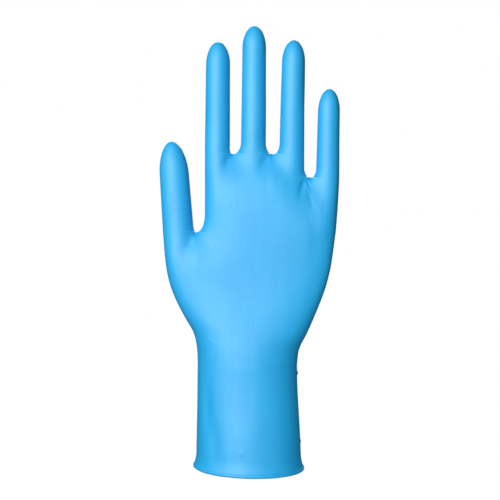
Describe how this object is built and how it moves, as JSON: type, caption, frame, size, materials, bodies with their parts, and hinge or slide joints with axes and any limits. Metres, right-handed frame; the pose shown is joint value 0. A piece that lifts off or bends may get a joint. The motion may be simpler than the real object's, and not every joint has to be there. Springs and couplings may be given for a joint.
{
  "type": "long-cuff nitrile exam glove",
  "caption": "Thin dipped rubber exam glove with smooth finger stalls, an open palm, a long straight cuff and a rolled rim, kept in its worn shape.",
  "frame": {"origin": "centre of the hand opening, in the plane that the rim's roll stands on", "axes": "+Z from the hand opening to the fingertips, -Y out of the front of the palm, -X towards the thumb"},
  "size_m": [0.1225, 0.0678, 0.301],
  "materials": {
    "nitrile_film": "matte blue dipped film"
  },
  "bodies": {
    "root": {"glove": "nitrile_film"}
  },
  "joints": []
}
